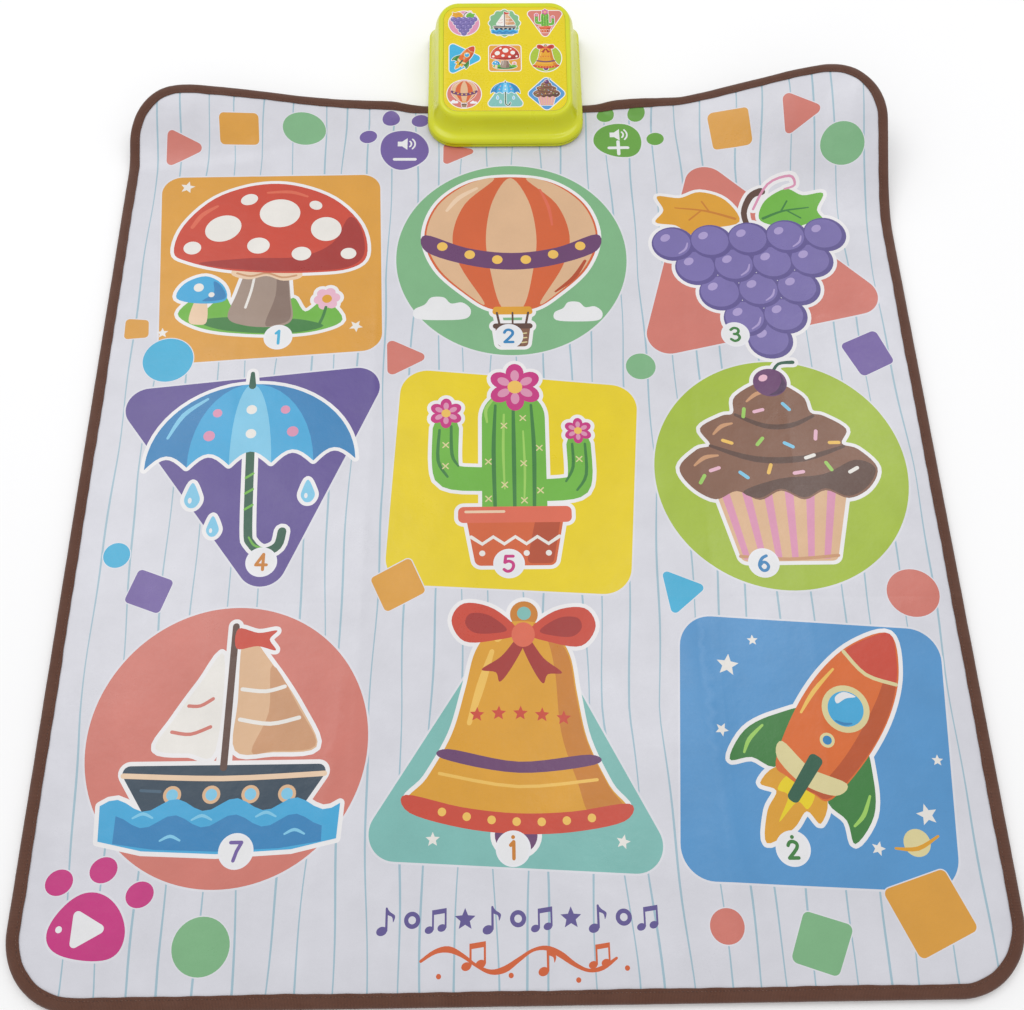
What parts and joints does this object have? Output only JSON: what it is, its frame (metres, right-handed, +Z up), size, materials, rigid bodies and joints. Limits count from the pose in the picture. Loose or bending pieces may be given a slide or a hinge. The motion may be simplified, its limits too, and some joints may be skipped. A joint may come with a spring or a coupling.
{
  "type": "electronic dance mat",
  "caption": "Soft foldable play mat with printed touch zones and paw shaped keys, wired to a small wedge shaped control box on its far edge.",
  "frame": {"origin": "middle of the mat's 800 x 900 mm outline, on the floor, on the underside of the backing", "axes": "+Z up, +Y along the mat towards the control box, +X to the right of a player who faces the box"},
  "size_m": [0.8, 1.009, 0.064],
  "materials": {
    "printed_vinyl": "glossy coated printed cover, pale with thin blue pinstripes",
    "zone_print": "glossy coated print, flat bright colours",
    "tape": "woven brown polyester binding tape, stitched",
    "contact_film": "clear polyester film with printed carbon tracks",
    "foam": "closed cell foam sheet",
    "grip": "non slip backing cloth with dots",
    "shell": "yellow-green moulded ABS, fine texture",
    "label": "yellow printed translucent label, nine small icons",
    "steel": "zinc plated steel",
    "white_plastic": "white moulded plastic",
    "board": "green circuit board",
    "rubber": "black rubber",
    "dark_plastic": "dark moulded plastic",
    "cell": "plain sleeve, AA size",
    "cone": "black paper cone"
  },
  "bodies": {
    "mat": {"grip_base_rear": "grip", "lower_contact_film_rear": "contact_film", "foam_spacer_rear": "foam", "upper_contact_film_rear": "contact_film", "printed_cover_rear": "printed_vinyl", "edge_binding_rear": "tape", "mat_clamp_plate": "steel", "film_tail": "contact_film", "clamp_screw_1": "steel", "clamp_screw_2": "steel", "clamp_screw_3": "steel", "upper_housing": "shell", "indicator_label": "label", "light_baffle": "white_plastic", "control_board": "board", "lower_housing": "shell", "battery_contact_left": "steel", "battery_contact_right": "steel", "speaker_frame": "dark_plastic", "power_switch_body": "dark_plastic", "case_screw_1": "steel", "rubber_foot_1": "rubber", "case_screw_2": "steel", "rubber_foot_2": "rubber", "case_screw_3": "steel", "rubber_foot_3": "rubber", "case_screw_4": "steel", "rubber_foot_4": "rubber", "battery_1": "cell", "battery_spring_1": "steel", "battery_2": "cell", "battery_spring_2": "steel", "battery_3": "cell", "battery_spring_3": "steel"},
    "front_flap": {"grip_base_front": "grip", "lower_contact_film_front": "contact_film", "foam_spacer_front": "foam", "upper_contact_film_front": "contact_film", "printed_cover_front": "printed_vinyl", "edge_binding_front": "tape"},
    "touch_pad_1": {"pad_1": "zone_print"},
    "touch_pad_2": {"pad_2": "zone_print"},
    "touch_pad_3": {"pad_3": "zone_print"},
    "touch_pad_4": {"pad_4": "zone_print"},
    "touch_pad_5": {"pad_5": "zone_print"},
    "touch_pad_6": {"pad_6": "zone_print"},
    "touch_pad_7": {"pad_7": "zone_print"},
    "touch_pad_8": {"pad_8": "zone_print"},
    "touch_pad_9": {"pad_9": "zone_print"},
    "volume_down": {"volume_down_key": "zone_print"},
    "volume_up": {"volume_up_key": "zone_print"},
    "game": {"game_key": "zone_print"},
    "power_switch": {"power_slider": "dark_plastic"},
    "battery_cover": {"battery_door": "shell", "battery_door_screw": "steel"},
    "cone": {"speaker_cone": "cone"}
  },
  "joints": [
    {"name": "storage_fold", "type": "hinge", "parent": "mat", "child": "front_flap", "pos_m": [0, -0.1225, 0.008], "axis": [-1, 0, 0], "range_deg": [0, 178]},
    {"name": "pad_1_press", "type": "slide", "parent": "mat", "child": "touch_pad_1", "axis": [0, 0, -1], "range_m": [0, 0.0016], "stiffness_N_per_m": 4000, "springref_m": -0.0006},
    {"name": "pad_2_press", "type": "slide", "parent": "mat", "child": "touch_pad_2", "axis": [0, 0, -1], "range_m": [0, 0.0016], "stiffness_N_per_m": 4000, "springref_m": -0.0006},
    {"name": "pad_3_press", "type": "slide", "parent": "mat", "child": "touch_pad_3", "axis": [0, 0, -1], "range_m": [0, 0.0016], "stiffness_N_per_m": 4000, "springref_m": -0.0006},
    {"name": "pad_4_press", "type": "slide", "parent": "mat", "child": "touch_pad_4", "axis": [0, 0, -1], "range_m": [0, 0.0016], "stiffness_N_per_m": 4000, "springref_m": -0.0006},
    {"name": "pad_5_press", "type": "slide", "parent": "mat", "child": "touch_pad_5", "axis": [0, 0, -1], "range_m": [0, 0.0016], "stiffness_N_per_m": 4000, "springref_m": -0.0006},
    {"name": "pad_6_press", "type": "slide", "parent": "mat", "child": "touch_pad_6", "axis": [0, 0, -1], "range_m": [0, 0.0016], "stiffness_N_per_m": 4000, "springref_m": -0.0006},
    {"name": "pad_7_press", "type": "slide", "parent": "front_flap", "child": "touch_pad_7", "axis": [0, 0, -1], "range_m": [0, 0.0016], "stiffness_N_per_m": 4000, "springref_m": -0.0006},
    {"name": "pad_8_press", "type": "slide", "parent": "front_flap", "child": "touch_pad_8", "axis": [0, 0, -1], "range_m": [0, 0.0016], "stiffness_N_per_m": 4000, "springref_m": -0.0006},
    {"name": "pad_9_press", "type": "slide", "parent": "front_flap", "child": "touch_pad_9", "axis": [0, 0, -1], "range_m": [0, 0.0016], "stiffness_N_per_m": 4000, "springref_m": -0.0006},
    {"name": "volume_down_press", "type": "slide", "parent": "mat", "child": "volume_down", "axis": [0, 0, -1], "range_m": [0, 0.0016], "stiffness_N_per_m": 1500, "springref_m": -0.0006},
    {"name": "volume_up_press", "type": "slide", "parent": "mat", "child": "volume_up", "axis": [0, 0, -1], "range_m": [0, 0.0016], "stiffness_N_per_m": 1500, "springref_m": -0.0006},
    {"name": "game_press", "type": "slide", "parent": "front_flap", "child": "game", "axis": [0, 0, -1], "range_m": [0, 0.0016], "stiffness_N_per_m": 1500, "springref_m": -0.0006},
    {"name": "power_switch_slide", "type": "slide", "parent": "mat", "child": "power_switch", "axis": [1, 0, 0], "range_m": [0, 0.008]},
    {"name": "battery_door_hinge", "type": "hinge", "parent": "mat", "child": "battery_cover", "pos_m": [0, 0.531, 0.0018], "axis": [1, 0, 0], "range_deg": [0, 90]},
    {"name": "speaker_cone_stroke", "type": "slide", "parent": "mat", "child": "cone", "axis": [0, 0, -1], "range_m": [-0.0008, 0.0008], "stiffness_N_per_m": 1500}
  ]
}
